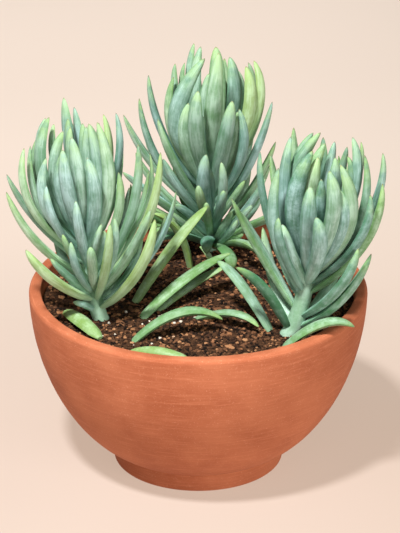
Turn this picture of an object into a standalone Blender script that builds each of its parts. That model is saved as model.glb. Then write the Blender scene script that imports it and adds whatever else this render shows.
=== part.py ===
"""A terracotta bowl planted with three shoots of senecio, a succulent with finger-like leaves.

Metres, +Z up. The origin is the middle of the flat underside of the bowl's foot. -Y is the front.
"""
import math
import random

import bmesh
import bpy
from mathutils import Vector

MM = 0.001

# Driving dimensions of the bowl
RIM_RADIUS = 125 * MM
BOWL_HEIGHT = 138 * MM
FOOT_RADIUS = 63 * MM
FOOT_HEIGHT = 14.5 * MM
FOOT_CHAMFER = 1.5 * MM
WALL = 9 * MM
FLOOR_TOP = 16 * MM
LIP_ROUND = 3.5 * MM
INNER_LIP_CHAMFER = 1.8 * MM
INNER_TOP_DROP = 6 * MM
DRAIN_RADIUS = 5 * MM
DRAIN_RING = 28 * MM
DRAIN_COUNT = 3
DRAIN_SIDES = 16
DRILL_MARGIN = 5 * MM
PROFILE_STEPS = 9
RIM_SEGMENTS = 34

# The bowl's outside is a quarter of a superellipse that stands on a circle hidden inside the foot
BELLY_START_RADIUS = 50 * MM
BELLY_START_HEIGHT = 10 * MM
BELLY_POWER_UP = 1.91
BELLY_POWER_OUT = 1.72

# Powers that draw the rings of a turned face together where it bends most
OUTSIDE_SPACING = 1.15
INSIDE_SPACING = 1.5

# Soil
SOIL_MIDDLE = 130.5 * MM
SOIL_EDGE = 126 * MM
SOIL_RELIEF = 0.9 * MM
SOIL_SIDE_DROP = 4 * MM
SOIL_RINGS = 7
SOIL_SEGMENTS = 26
SOIL_SPACING = 0.9
SOIL_WALL_GAP = 1.1 * MM
CLEARANCE = 0.35 * MM
LEAF_CLEARANCE = 0.9 * MM

# Shoots
STEM_HEIGHT = 86 * MM
STEM_DEPTH = 22 * MM
STEM_RADIUS = 5.6 * MM
STEM_TOP_RADIUS = 3.6 * MM
STEM_TOP_POINT = 3 * MM
STEM_SIDES = 10
STEM_DRILL_TOP = 12 * MM
LEAN_POWER = 0.65
ROOT_OFFSET = 2 * MM

# Leaves: the shares are of the widest half width, of the length, or of a leaf's half width
LEAF_SIDES = 6
LEAF_STATIONS = (0.0, 0.3, 0.6, 0.84, 0.96)
LEAF_THICKNESS_SHARE = 0.66
INNER_FACE_SHARE = 0.82
NECK_SHARE = 0.55
NECK_END = 0.55
TIP_POWER = 7
TIP_ROUNDNESS = 0.6
OUTWARD_DROOP = 0.2
TURN_TO_FRONT = 20 * MM
SHARP_EDGE = math.radians(50)

# Leaf tips and middles are given in millimetres from the foot of their stem: across (+X), up, and behind (+Y).
# They are read along a line of sight that falls 25 degrees, so what stands behind reads too high.
SIGHT_SLOPE = math.tan(math.radians(25))
MIDDLE_BEHIND_SHARE = 0.8

# Each shoot: where its stem leaves the soil, how far its top leans, and its leaves, each
# (tip across, tip up, tip behind, middle across, middle up, height of its root on the stem, half width)
SHOOTS = {
    "left_shoot": {
        "foot": (-71, -37),
        "lean": (-13, 4),
        "leaves": (
            (-67, 115, 6, -45, 78, 42, 4.7), (-67, 101, -6, -44, 60, 32, 5.3), (-53, 55, -24, -33, 31, 15, 6.2),
            (-53, 135, -14, -48, 88, 50, 4.6), (-49, 137, -4, -42, 88, 50, 4.5),
            (-42, 147, 8, -44, 105, 56, 4.5), (-35, 159, -8, -40, 112, 62, 5.6),
            (-38, 159, 2, -41, 118, 66, 3.8), (-32, 154, 0, -31, 118, 66, 4.0),
            (-37, 127, -20, -38, 87, 54, 4.5), (-37, 105, -32, -31, 75, 44, 3.9),
            (-25, 148, -12, -31, 108, 64, 4.9), (-27, 129, -18, -27, 94, 58, 3.9),
            (-25, 133, -32, -21, 96, 56, 5.2), (-19, 143, -24, -13, 102, 64, 5.4),
            (-25, 175, 6, -20, 128, 76, 5.6), (-18, 168, 14, -13, 125, 76, 4.4),
            (-20, 151, -10, -20, 115, 68, 3.8), (-22, 158, -2, -20, 122, 72, 3.8),
            (-12, 155, 8, -11, 118, 74, 3.9), (-9, 152, -4, -8, 112, 70, 4.8), (-8, 127, -26, -3, 92, 58, 5.1),
            (-7, 154, -12, 0, 106, 64, 5.7), (-1, 155, -16, 7, 100, 56, 4.7), (3, 162, 8, 6, 118, 68, 4.0),
            (12, 163, 4, 12, 118, 66, 4.0), (14, 116, -14, 12, 78, 46, 4.0), (28, 138, -10, 22, 82, 28, 5.1),
            (35, 118, 30, 22, 70, 28, 4.8), (48, 84, 26, 30, 44, 14, 4.8),
            (44, 132, -8, 31, 72, 24, 5.5), (37, 87, -16, 19, 48, 20, 5.4), (40, 79, -26, 27, 37, 8, 5.7),
            (8, 75, -36, 5, 43, 14, 3.4), (11, 80, -30, 10, 50, 20, 2.9), (-20, 61, -36, -16, 39, 20, 3.3),
            (-16, 93, -42, -13, 65, 38, 3.7), (-26, 67, -28, -20, 50, 28, 2.9), (-6, 57, -42, -5, 42, 22, 3.6),
            (2, 75, -30, -3, 55, 34, 3.0), (4, 70, -26, 0, 52, 30, 3.4), (-36, 48, -10, -22, 33, 18, 4.5),
            (-20, 13, -8, -12, 11, 6, 3.6), (55, 102, 20, 36, 51, 12, 4.0), (36, 132, 12, 30, 84, 40, 3.5),
            (22, 108, 22, 16, 64, 26, 4.6), (30, 70, 20, 20, 38, 12, 4.4),
        ),
    },
    "middle_shoot": {
        "foot": (10, 84),
        "lean": (1, 3),
        "leaves": (
            (-13, 169, 12, -15, 125, 76, 4.9), (-8, 166, 6, -12, 122, 76, 4.9),
            (-20, 153, 8, -20, 116, 72, 3.7), (-27, 152, 2, -23, 112, 66, 4.8),
            (-5, 155, -18, -26, 102, 62, 6.4), (-17, 119, -20, -19, 84, 48, 5.3),
            (-28, 141, -6, -29, 95, 50, 4.6), (-47, 143, 4, -34, 91, 46, 5.2), (-54, 124, 0, -38, 71, 30, 5.0),
            (-40, 106, -24, -25, 66, 30, 4.4), (-66, 111, 6, -40, 66, 28, 5.4),
            (-10, 128, -34, -11, 90, 50, 5.8), (-6, 108, -26, -7, 84, 52, 3.4), (5, 159, -26, 1, 106, 58, 6.4),
            (3, 165, -4, 4, 122, 70, 6.3), (-2, 143, -16, -5, 106, 60, 4.6), (13, 157, -2, 16, 115, 62, 5.9),
            (19, 147, 8, 21, 115, 66, 3.8), (25, 149, -12, 26, 105, 54, 6.0), (27, 153, 4, 28, 112, 58, 4.5),
            (31, 154, -4, 33, 108, 48, 5.4), (20, 114, -28, 22, 75, 38, 4.0), (45, 121, -8, 28, 70, 28, 5.0),
            (15, 120, -36, 9, 84, 46, 5.9), (19, 112, -26, 17, 84, 44, 4.7), (-4, 77, -38, -6, 50, 20, 4.8),
            (7, 71, -36, 8, 44, 18, 3.5), (-4, 38, -40, -3, 26, 8, 3.0), (48, 89, 2, 29, 49, 14, 4.9),
            (25, 57, -14, 15, 41, 20, 3.3), (36, 47, -8, 23, 31, 8, 3.6), (38, 45, -4, 24, 24, 5, 4.5),
            (-28, 36, -16, -17, 30, 12, 4.9), (-31, 31, -24, -19, 20, 6, 3.6), (15, 31, -30, 9, 18, 3, 3.6),
            (19, 24, -36, 12, 11, 2, 3.2), (-67, 64, 6, -42, 44, 12, 4.9), (24, 12, -30, 13, 8, 2, 4.0),
            (-1, 65, -30, 0, 50, 32, 2.6), (-50, 95, 18, -33, 60, 24, 4.6), (-57, 80, 8, -38, 50, 16, 4.8),
            (-50, 48, -14, -31, 34, 12, 4.8), (-36, 74, -26, -22, 47, 22, 4.6), (-45, 4, -34, -26, 12, 4, 4.6),
            (-54, 26, 0, -32, 20, 5, 4.8), (44, 70, 6, 27, 38, 10, 4.6), (40, 58, -20, 24, 31, 6, 4.6),
            (30, 36, -34, 18, 21, 4, 4.2), (47, 30, -18, 28, 19, 3, 4.6), (-10, 52, -42, -7, 36, 16, 3.6),
            (9, 48, -42, 6, 32, 12, 3.6),
            (-62, 44, 10, -38, 30, 8, 4.8), (-46, 62, 20, -30, 40, 14, 4.8), (-44, 84, 28, -28, 56, 26, 4.6),
            (40, -8, -46, 24, 5, 4, 5.2), (54, 26, -16, 33, 22, 6, 5.2), (16, -17, -56, 11, -2, 4, 5.4),
            (-64, 37, -4, -38, 26, 8, 5.0), (-58, 20, -10, -34, 17, 6, 5.0),
            (-4, -4, -44, -3, 8, 6, 4.8), (-48, 10, -26, -30, 16, 6, 5.0),
        ),
    },
    "right_shoot": {
        "foot": (66, -60),
        "lean": (21, 5),
        "leaves": (
            (21, 158, 2, 0, 110, 62, 5.9), (16, 158, 8, 3, 118, 66, 4.5), (0, 155, -2, -4, 98, 44, 4.9),
            (15, 143, -20, 2, 98, 54, 6.1), (24, 149, -8, 13, 112, 66, 5.1), (19, 138, -16, 14, 104, 62, 5.4),
            (13, 115, -36, 12, 82, 44, 5.6), (17, 91, -42, 20, 66, 38, 5.3), (21, 121, -24, 20, 88, 54, 4.5),
            (26, 127, -36, 29, 88, 46, 5.7), (31, 138, -16, 28, 104, 62, 4.7), (34, 132, -28, 41, 85, 44, 5.5),
            (33, 113, -30, 36, 80, 44, 4.7), (43, 154, -8, 44, 108, 54, 5.3), (50, 151, 10, 45, 112, 62, 3.7),
            (31, 151, 2, 25, 114, 68, 4.6), (40, 147, 4, 32, 112, 66, 4.9), (40, 139, -10, 40, 106, 58, 3.8),
            (52, 140, -10, 48, 86, 40, 4.8), (65, 142, -4, 55, 92, 38, 5.2), (65, 118, -10, 52, 70, 30, 5.7),
            (56, 109, -22, 47, 71, 38, 4.9), (48, 67, -24, 34, 35, 12, 5.8), (58, 63, -12, 36, 26, 4, 5.7),
            (-9, 91, -30, -6, 66, 32, 3.5), (-9, 130, -18, -11, 78, 32, 4.5), (-22, 143, -8, -16, 92, 28, 3.9),
            (-12, 105, 6, -6, 80, 36, 3.0), (-6, 86, -18, 0, 62, 38, 5.5), (-42, 107, 14, -21, 64, 16, 4.9),
            (-36, 97, 18, -20, 68, 18, 4.9), (-39, 52, -14, -18, 35, 2, 6.0),
        ),
    },
}

# The far side of each shoot, in tiers from the bottom: reach and height of the tips, and how many
REAR_TIERS = ((46, 62, 3), (50, 92, 3), (40, 122, 3), (22, 146, 2))
REAR_START = math.radians(30)
REAR_SPAN = math.radians(120)
REAR_JITTER = 5
REAR_LEAN_SHARE = 0.7
REAR_LENGTH = 81.5 * MM
LOWEST_ROOT_SHARE = 0.1
HIGHEST_ROOT_SHARE = 0.96
ROOT_TRIALS = 60

# Young leaves that close over the top of a stem
HEART_LEAVES = 3
HEART_REACH = 9
HEART_TIP = 134
HEART_STEP = 2
HEART_TURN = math.radians(75)
HEART_LEAN_SHARE = 1.2
HEART_ROOT_SHARE = 0.93
GOLDEN_ANGLE = math.radians(137.5)

# How the leaves that weren't read bend, and how wide they are
MIDDLE_ALONG = 0.44
UPRIGHT_BOW = 0.06
REACH_BOW = 0.11
SLIM_HALF_WIDTH = 2.3 * MM
WIDTH_PER_LENGTH = 0.036
MOST_HALF_WIDTH = 4.6 * MM
SEED = 7

# Single leaves set in the soil: root (x, y), middle and tip (x, y, height above the soil), half width
PLANTED_LEAVES = {
    "planted_leaf_back": ((-49, -12), (-20, 9, 34), (7, 28, 60), 6.0),
    "planted_leaf_middle": ((-45, -40), (-12, -15, 19), (24, 10, 30), 5.8),
    "planted_leaf_below": ((-38, -31), (-6, -7, 11), (20, 0, 23), 4.8),
    "planted_leaf_front": ((-49, -73), (-15, -67, 19), (18, -62, 11), 6.0),
    "planted_leaf_beside": ((-7, -35), (22, -51, 11), (44, -65, 6), 4.8),
    "planted_leaf_arching": ((54, -57), (32, -41, 28), (14, -22, 39), 5.4),
    "planted_leaf_bent": ((-6, 49), (-14, 46, 31), (-34, 40, 49), 5.6),
    "planted_leaf_over_rim": ((60, -80), (88, -79, 17), (113, -72, 11), 5.8),
    "planted_leaf_small": ((13, 50), (7, 57, 8), (1, 62, 11), 2.8),
}
PLANTING_DEPTH = 9 * MM

# Single leaves that lie on the soil: butt, middle and tip (x, y, height of its axis above the soil), half width
LYING_LEAVES = {
    "fallen_leaf_front": ((-6, -106, 3), (-28, -98, 6), (-51, -90, 2), 5.0),
    "fallen_leaf_left": ((-71, -72, 4), (-86, -48, 7), (-98, -24, 3), 6.8),
}
REST_GAP = 0.6 * MM

COLOURS = {
    "terracotta": ((0.56, 0.20, 0.09, 1.0), 0.8),
    "soil": ((0.055, 0.03, 0.018, 1.0), 0.95),
    "leaf": ((0.30, 0.47, 0.33, 1.0), 0.55),
}


def clear_scene():
    for obj in list(bpy.data.objects):
        bpy.data.objects.remove(obj)


def material(name):
    if name in bpy.data.materials:
        return bpy.data.materials[name]
    colour, roughness = COLOURS[name]
    made = bpy.data.materials.new(name)
    made.use_nodes = True
    shader = made.node_tree.nodes["Principled BSDF"]
    shader.inputs["Base Color"].default_value = colour
    shader.inputs["Roughness"].default_value = roughness
    return made


def add_object(name, mesh_data, look, collection=None):
    mesh = bpy.data.meshes.new(name)
    mesh_data.to_mesh(mesh)
    mesh_data.free()
    obj = bpy.data.objects.new(name, mesh)
    mesh.materials.append(material(look))
    mesh.shade_smooth()
    mesh.set_sharp_from_angle(angle=SHARP_EDGE)
    (collection or bpy.context.scene.collection).objects.link(obj)
    return obj


def apply_boolean(obj, operation, other=None, collection=None):
    modifier = obj.modifiers.new("join or cut", "BOOLEAN")
    modifier.operation = operation
    modifier.solver = "MANIFOLD"
    if collection is None:
        modifier.object = other
    else:
        modifier.operand_type = "COLLECTION"
        modifier.collection = collection
    bpy.context.view_layer.update()
    graph = bpy.context.evaluated_depsgraph_get()
    made = bpy.data.meshes.new_from_object(obj.evaluated_get(graph))
    obj.modifiers.clear()
    obj.data = made


def fill_pockets(obj):
    """Removes the small closed surfaces that a union leaves where leaves seal a pocket between them."""
    built = bmesh.new()
    built.from_mesh(obj.data)
    seen, shells = set(), []
    for vert in built.verts:
        if vert in seen:
            continue
        shell, edge_of_search = {vert}, [vert]
        while edge_of_search:
            here = edge_of_search.pop()
            for edge in here.link_edges:
                there = edge.other_vert(here)
                if there not in shell:
                    shell.add(there)
                    edge_of_search.append(there)
        seen |= shell
        shells.append(shell)
    outer = max(shells, key=len)
    bmesh.ops.delete(built, geom=[vert for vert in built.verts if vert not in outer], context="VERTS")
    built.to_mesh(obj.data)
    built.free()


def remove_objects(objects):
    for obj in list(objects):
        bpy.data.objects.remove(obj)


def loft(rings, start=None, end=None):
    """A closed bmesh through rings of points, ended by a point or by a flat face at either end."""
    built = bmesh.new()
    rows = [[built.verts.new(point) for point in ring] for ring in rings]
    count = len(rows[0])
    for lower, upper in zip(rows, rows[1:]):
        for i in range(count):
            j = (i + 1) % count
            built.faces.new((lower[i], lower[j], upper[j], upper[i]))
    for row, point, order in ((rows[0], start, -1), (rows[-1], end, 1)):
        if point is None:
            built.faces.new(row[::order])
            continue
        peak = built.verts.new(point)
        for i in range(count):
            pair = (row[i], row[(i + 1) % count])[::order]
            built.faces.new((*pair, peak))
    bmesh.ops.recalc_face_normals(built, faces=built.faces)
    return built


def turned(profile, segments):
    """A closed solid turned round Z from (radius, height) points that run from axis to axis."""
    rings = [
        [
            (radius * math.cos(math.tau * i / segments), radius * math.sin(math.tau * i / segments), height)
            for i in range(segments)
        ]
        for radius, height in profile[1:-1]
    ]
    return loft(rings, (0, 0, profile[0][1]), (0, 0, profile[-1][1]))


def belly_radius(height):
    """Radius of the bowl's outside at a height above the foot."""
    share = (height - BELLY_START_HEIGHT) / (BOWL_HEIGHT - BELLY_START_HEIGHT)
    swell = (1 - (1 - share) ** BELLY_POWER_UP) ** (1 / BELLY_POWER_OUT)
    return BELLY_START_RADIUS + (RIM_RADIUS - BELLY_START_RADIUS) * swell


def inner_radius(height):
    """Radius of the bowl's inside: the outside, one wall in, and rounded off into the floor."""
    above_floor = (height - FLOOR_TOP) / (BOWL_HEIGHT - FLOOR_TOP)
    swell = (1 - (1 - above_floor) ** BELLY_POWER_UP) ** (1 / BELLY_POWER_OUT)
    floor_radius = BELLY_START_RADIUS - WALL / 2
    return floor_radius + (RIM_RADIUS - WALL - floor_radius) * swell


def inner_heights():
    """Heights of the rings of the bowl's inside, from the floor up, closest at the turn into the floor."""
    rise = BOWL_HEIGHT - INNER_TOP_DROP - FLOOR_TOP
    return [FLOOR_TOP + rise * (i / (PROFILE_STEPS - 1)) ** INSIDE_SPACING for i in range(PROFILE_STEPS)]


def bowl_profile():
    profile = [(0, 0), (FOOT_RADIUS - FOOT_CHAMFER, 0), (FOOT_RADIUS, FOOT_CHAMFER), (FOOT_RADIUS, FOOT_HEIGHT)]
    for i in range(1, PROFILE_STEPS):
        share = (i / PROFILE_STEPS) ** OUTSIDE_SPACING
        height = FOOT_HEIGHT + (BOWL_HEIGHT - LIP_ROUND - FOOT_HEIGHT) * share
        profile.append((belly_radius(height), height))
    for degrees in (0, 30, 60, 90):
        turn = math.radians(degrees)
        across = RIM_RADIUS - LIP_ROUND * (1 - math.cos(turn))
        profile.append((across, BOWL_HEIGHT - LIP_ROUND * (1 - math.sin(turn))))
    profile.append((RIM_RADIUS - WALL + INNER_LIP_CHAMFER, BOWL_HEIGHT))
    profile.append((RIM_RADIUS - WALL, BOWL_HEIGHT - INNER_LIP_CHAMFER))
    profile += [(inner_radius(height), height) for height in reversed(inner_heights())]
    return profile + [(0, FLOOR_TOP)]


def circle(centre, radius, sides):
    """Points on a level circle."""
    turns = [math.tau * k / sides for k in range(sides)]
    return [centre + Vector((math.cos(turn), math.sin(turn), 0)) * radius for turn in turns]


def make_bowl():
    bowl = add_object("bowl", turned(bowl_profile(), RIM_SEGMENTS), "terracotta")
    for i in range(DRAIN_COUNT):
        turn = math.tau * (i / DRAIN_COUNT + 0.25)
        spot = Vector((math.cos(turn), math.sin(turn), 0)) * DRAIN_RING
        ends = (Vector((0, 0, -DRILL_MARGIN)), Vector((0, 0, FLOOR_TOP + DRILL_MARGIN)))
        rings = [circle(spot + end, DRAIN_RADIUS, DRAIN_SIDES) for end in ends]
        drill = add_object("drain drill", loft(rings), "terracotta")
        apply_boolean(bowl, "DIFFERENCE", drill)
        bpy.data.objects.remove(drill)
    return bowl


def soil_height(x, y):
    """Height of the soil's top: a low mound with soft bumps."""
    edge = RIM_RADIUS - WALL
    share = min(1.0, math.hypot(x, y) / edge)
    mound = SOIL_EDGE + (SOIL_MIDDLE - SOIL_EDGE) * (1 - share**4)
    u, v = x / MM, y / MM
    bumps = math.sin(u / 6.1 + 1.3 * math.sin(v / 9.7)) * math.cos(v / 7.3 + math.sin(u / 11.9))
    ripple = math.sin(u / 3.7 - v / 4.9) * 0.4
    return mound + SOIL_RELIEF * (bumps + ripple) * (1 - share**6)


def make_soil():
    """The soil body: rings that follow the bowl's inside, then rings over the top, each turned half a step."""
    edge = inner_radius(SOIL_EDGE) - SOIL_WALL_GAP
    bottom = FLOOR_TOP + CLEARANCE
    side_heights = [height for height in inner_heights() if height < SOIL_EDGE - SOIL_SIDE_DROP]
    sides = [(inner_radius(height) - SOIL_WALL_GAP, height + CLEARANCE) for height in side_heights]
    tops = [(edge * (1 - k / SOIL_RINGS) ** SOIL_SPACING, None) for k in range(SOIL_RINGS)]
    rings = []
    for k, (radius, height) in enumerate(sides + tops):
        ring = []
        for i in range(SOIL_SEGMENTS):
            turn = math.tau * (i + 0.5 * (k % 2)) / SOIL_SEGMENTS
            x, y = radius * math.cos(turn), radius * math.sin(turn)
            ring.append((x, y, soil_height(x, y) if height is None else height))
        rings.append(ring)
    return add_object("soil", loft(rings, (0, 0, bottom), (0, 0, soil_height(0, 0))), "soil")


def leaf_swell(share):
    """Half width along a leaf, from 0 at the root to 1 at the tip, as a share of the widest."""
    neck = NECK_SHARE + (1 - NECK_SHARE) * math.sin(math.pi / 2 * min(1.0, share / NECK_END))
    return neck * (1 - share**TIP_POWER) ** TIP_ROUNDNESS


def leaf_mesh(root, middle, tip, out, half_width, grow=0.0):
    """A finger-like leaf on an arc through three points, flatter on the face that is turned away from out."""
    control = middle * 2 - (root + tip) / 2
    root = root - (control - root).normalized() * grow
    tip = tip + (tip - control).normalized() * grow
    side = (tip - root).cross(out).normalized()
    rings = []
    for share in LEAF_STATIONS:
        centre = root * (1 - share) ** 2 + control * 2 * share * (1 - share) + tip * share**2
        along = ((control - root) * (1 - share) + (tip - control) * share).normalized()
        normal = side.cross(along).normalized()
        across = along.cross(normal)
        wide = half_width * leaf_swell(share) + grow
        ring = []
        for i in range(LEAF_SIDES):
            turn = math.tau * i / LEAF_SIDES
            thick = wide * LEAF_THICKNESS_SHARE * (1.0 if math.sin(turn) > 0 else INNER_FACE_SHARE)
            ring.append(centre + across * wide * math.cos(turn) + normal * thick * math.sin(turn))
        rings.append(ring)
    return loft(rings, None, tip)


def foot_point(shoot):
    x, y = (value * MM for value in shoot["foot"])
    return Vector((x, y, soil_height(x, y)))


def stem_point(shoot, height):
    """The middle of the stem at a height above the soil, in metres."""
    share = max(0.0, height / STEM_HEIGHT)
    lean = Vector((*shoot["lean"], 0)) * MM * share**LEAN_POWER
    return foot_point(shoot) + lean + Vector((0, 0, height))


def read_point(shoot, across, up, behind):
    """The point that was read as so far across and up from the foot, if it is so far behind it."""
    return foot_point(shoot) + Vector((across, behind, up - behind * SIGHT_SLOPE)) * MM


def read_leaves(shoot):
    """The leaves that can be made out: root, middle, tip, outward direction and half width of each."""
    for across, up, behind, middle_across, middle_up, root_height, half_width in shoot["leaves"]:
        tip = read_point(shoot, across, up, behind)
        middle = read_point(shoot, middle_across, middle_up, behind * MIDDLE_BEHIND_SHARE)
        stem = stem_point(shoot, root_height * MM)
        facing = level_direction(stem, tip - Vector((0, TURN_TO_FRONT, 0)))
        yield stem + level_direction(stem, tip) * ROOT_OFFSET, middle, tip, lowered(facing), half_width * MM


def level_direction(start, end):
    return Vector((end.x - start.x, end.y - start.y, 0)).normalized()


def lowered(outward):
    return outward - Vector((0, 0, OUTWARD_DROOP))


def usual_leaf(shoot, tip, root_height):
    """A leaf from the stem to a tip with the usual bow: root, middle, tip, direction and half width."""
    stem = stem_point(shoot, root_height)
    chord = tip - stem
    reach = Vector((chord.x, chord.y, 0)).length
    outward = level_direction(stem, tip)
    root = stem + outward * ROOT_OFFSET
    swing = chord.cross(lowered(outward)).cross(chord).normalized()
    middle = root.lerp(tip, MIDDLE_ALONG) + swing * (chord.length * UPRIGHT_BOW + reach * REACH_BOW)
    half_width = min(MOST_HALF_WIDTH, SLIM_HALF_WIDTH + WIDTH_PER_LENGTH * chord.length)
    return root, middle, tip, lowered(outward), half_width


def rear_leaves(shoot, draw):
    """The leaves of a shoot's far side, tier by tier, each rooted where its length comes out as usual."""
    lean = Vector((*shoot["lean"], 0)) * REAR_LEAN_SHARE
    shares = [k / ROOT_TRIALS for k in range(ROOT_TRIALS + 1)]
    heights = [STEM_HEIGHT * (LOWEST_ROOT_SHARE * (1 - s) + HIGHEST_ROOT_SHARE * s) for s in shares]
    for reach, up, count in REAR_TIERS:
        for k in range(count):
            turn = REAR_START + REAR_SPAN * (k + 0.5) / count
            turn += math.radians(draw.uniform(-REAR_JITTER, REAR_JITTER))
            far = reach + draw.uniform(-REAR_JITTER, REAR_JITTER)
            height = up + draw.uniform(-REAR_JITTER, REAR_JITTER)
            tip = foot_point(shoot) + (lean + Vector((far * math.cos(turn), far * math.sin(turn), height))) * MM
            root_height = min(heights, key=lambda h: abs((tip - stem_point(shoot, h)).length - REAR_LENGTH))
            yield usual_leaf(shoot, tip, root_height)


def heart_leaves(shoot):
    lean = Vector((*shoot["lean"], 0)) * HEART_LEAN_SHARE
    for k in range(HEART_LEAVES):
        turn = GOLDEN_ANGLE * k + HEART_TURN
        reach = Vector((math.cos(turn), math.sin(turn), 0)) * HEART_REACH
        tip = foot_point(shoot) + (lean + reach + Vector((0, 0, HEART_TIP + HEART_STEP * k))) * MM
        yield usual_leaf(shoot, tip, STEM_HEIGHT * HEART_ROOT_SHARE)


def stem_mesh(shoot):
    rings = []
    for height in (-STEM_DEPTH, 0, STEM_HEIGHT * 0.25, STEM_HEIGHT * 0.5, STEM_HEIGHT * 0.75, STEM_HEIGHT):
        share = max(0.0, height / STEM_HEIGHT)
        radius = STEM_RADIUS + (STEM_TOP_RADIUS - STEM_RADIUS) * share
        rings.append(circle(stem_point(shoot, height), radius, STEM_SIDES))
    return loft(rings, None, stem_point(shoot, STEM_HEIGHT + STEM_TOP_POINT))


def make_shoot(name, draw):
    """The stem with all its leaves fused on."""
    shoot = SHOOTS[name]
    stem = add_object(name, stem_mesh(shoot), "leaf")
    leaves = bpy.data.collections.new(name + " leaves")
    bpy.context.scene.collection.children.link(leaves)
    every_leaf = [*read_leaves(shoot), *rear_leaves(shoot, draw), *heart_leaves(shoot)]
    for k, leaf in enumerate(every_leaf):
        add_object(f"{name} leaf {k}", leaf_mesh(*leaf), "leaf", leaves)
    apply_boolean(stem, "UNION", collection=leaves)
    fill_pockets(stem)
    remove_objects(leaves.objects)
    bpy.data.collections.remove(leaves)


def drill_stem_hole(soil, shoot):
    foot = foot_point(shoot)
    ends = (Vector((0, 0, -STEM_DEPTH - CLEARANCE)), Vector((0, 0, STEM_DRILL_TOP)))
    rings = [circle(foot + end, STEM_RADIUS + CLEARANCE, STEM_SIDES) for end in ends]
    drill = add_object("stem drill", loft(rings), "soil")
    apply_boolean(soil, "DIFFERENCE", drill)
    bpy.data.objects.remove(drill)


def planted_leaf(name, grow=0.0):
    """A leaf whose root is sunk in the soil, or with grow the same leaf a little fatter."""
    (root_x, root_y), *higher, half_width = PLANTED_LEAVES[name]
    start = Vector((root_x * MM, root_y * MM, soil_height(root_x * MM, root_y * MM)))
    middle, tip = (Vector((x * MM, y * MM, start.z + up * MM)) for x, y, up in higher)
    away = (middle - start).normalized()
    root = start - (away + Vector((0, 0, 1))).normalized() * PLANTING_DEPTH
    return leaf_mesh(root, middle, tip, Vector((0, 0, -1)), half_width * MM, grow)


def make_planted_leaf(name, soil):
    """A single leaf in a hole of its own shape in the soil."""
    add_object(name, planted_leaf(name), "leaf")
    drill = add_object("leaf drill", planted_leaf(name, LEAF_CLEARANCE), "soil")
    apply_boolean(soil, "DIFFERENCE", drill)
    bpy.data.objects.remove(drill)


def make_lying_leaf(name):
    """A leaf set down so that its lowest point almost touches the soil."""
    *points, half_width = LYING_LEAVES[name]
    butt, middle, tip = (Vector((x * MM, y * MM, soil_height(x * MM, y * MM) + up * MM)) for x, y, up in points)
    mesh = leaf_mesh(butt, middle, tip, Vector((0, 0, 1)), half_width * MM)
    closest = min(vert.co.z - soil_height(vert.co.x, vert.co.y) for vert in mesh.verts)
    for vert in mesh.verts:
        vert.co.z += REST_GAP - closest
    add_object(name, mesh, "leaf")


def main():
    clear_scene()
    make_bowl()
    soil = make_soil()
    draw = random.Random(SEED)
    for name, shoot in SHOOTS.items():
        drill_stem_hole(soil, shoot)
        make_shoot(name, draw)
    for name in PLANTED_LEAVES:
        make_planted_leaf(name, soil)
    for name in LYING_LEAVES:
        make_lying_leaf(name)


main()
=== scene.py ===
"""Looks of the potted senecio: a terracotta bowl, gritty soil, and shoots of bloomed blue-green leaves.

Metres, +Z up, in the CAD model's frame: the origin is the middle of the bowl's underside, -Y the front.
The leaf tables, the bowl's outline and the soil's mound repeat those of the part's source.
"""
import math
import random

import bmesh
import bpy
from mathutils import Matrix, Vector, noise

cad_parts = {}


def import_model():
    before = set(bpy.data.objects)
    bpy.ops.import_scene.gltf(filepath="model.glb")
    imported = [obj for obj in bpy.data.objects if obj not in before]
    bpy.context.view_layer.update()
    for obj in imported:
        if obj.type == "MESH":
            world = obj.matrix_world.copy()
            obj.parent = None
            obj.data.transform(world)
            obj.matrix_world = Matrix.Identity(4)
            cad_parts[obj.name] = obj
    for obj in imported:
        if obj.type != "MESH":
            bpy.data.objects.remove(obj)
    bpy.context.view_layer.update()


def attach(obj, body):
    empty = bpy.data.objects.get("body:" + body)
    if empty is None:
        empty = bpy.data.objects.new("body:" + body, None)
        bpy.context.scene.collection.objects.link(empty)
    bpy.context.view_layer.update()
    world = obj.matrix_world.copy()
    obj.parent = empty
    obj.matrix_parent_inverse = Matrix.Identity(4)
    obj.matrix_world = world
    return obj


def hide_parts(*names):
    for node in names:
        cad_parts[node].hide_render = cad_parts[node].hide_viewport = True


MM = 0.001

# How steeply the photograph looks down
SIGHT_FALL = math.radians(25)

# The bowl, as in the part's source
RIM_RADIUS = 125 * MM
BOWL_HEIGHT = 138 * MM
FOOT_RADIUS = 63 * MM
FOOT_HEIGHT = 14.5 * MM
WALL = 9 * MM
FLOOR_TOP = 16 * MM
LIP_ROUND = 3.5 * MM
INNER_LIP_ROUND = 1.8 * MM
INNER_TOP_DROP = 6 * MM
DRAIN_RADIUS = 5 * MM
DRAIN_RING = 28 * MM
DRAIN_COUNT = 3
BELLY_START_RADIUS = 50 * MM
BELLY_START_HEIGHT = 10 * MM
BELLY_POWER_UP = 1.91
BELLY_POWER_OUT = 1.72

# How finely the bowl is turned
BOWL_SEGMENTS = 180
OUTSIDE_STEPS = 60
INSIDE_STEPS = 40
INSIDE_SPACING = 1.5
LIP_STEPS = 8
SMALL_ARC_STEPS = 5
FOOT_INSET = 6 * MM
FOOT_EDGE_ROUND = 1.5 * MM
FOOT_SIDE_SHARES = (0.4, 0.7, 0.93)
BELLY_CLEARANCE = 0.1 * MM
BOWL_EDGE_ANGLE = 40
THROWING_RIPPLE = 0.12 * MM
RIPPLE_PITCH = 7 * MM
SMOOTH_LIP = 9 * MM
DRILL_SIDES = 32
DRILL_MARGIN = 5 * MM

# The soil, as in the part's source
SOIL_MIDDLE = 130.5 * MM
SOIL_EDGE = 126 * MM
SOIL_RELIEF = 0.9 * MM

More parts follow.
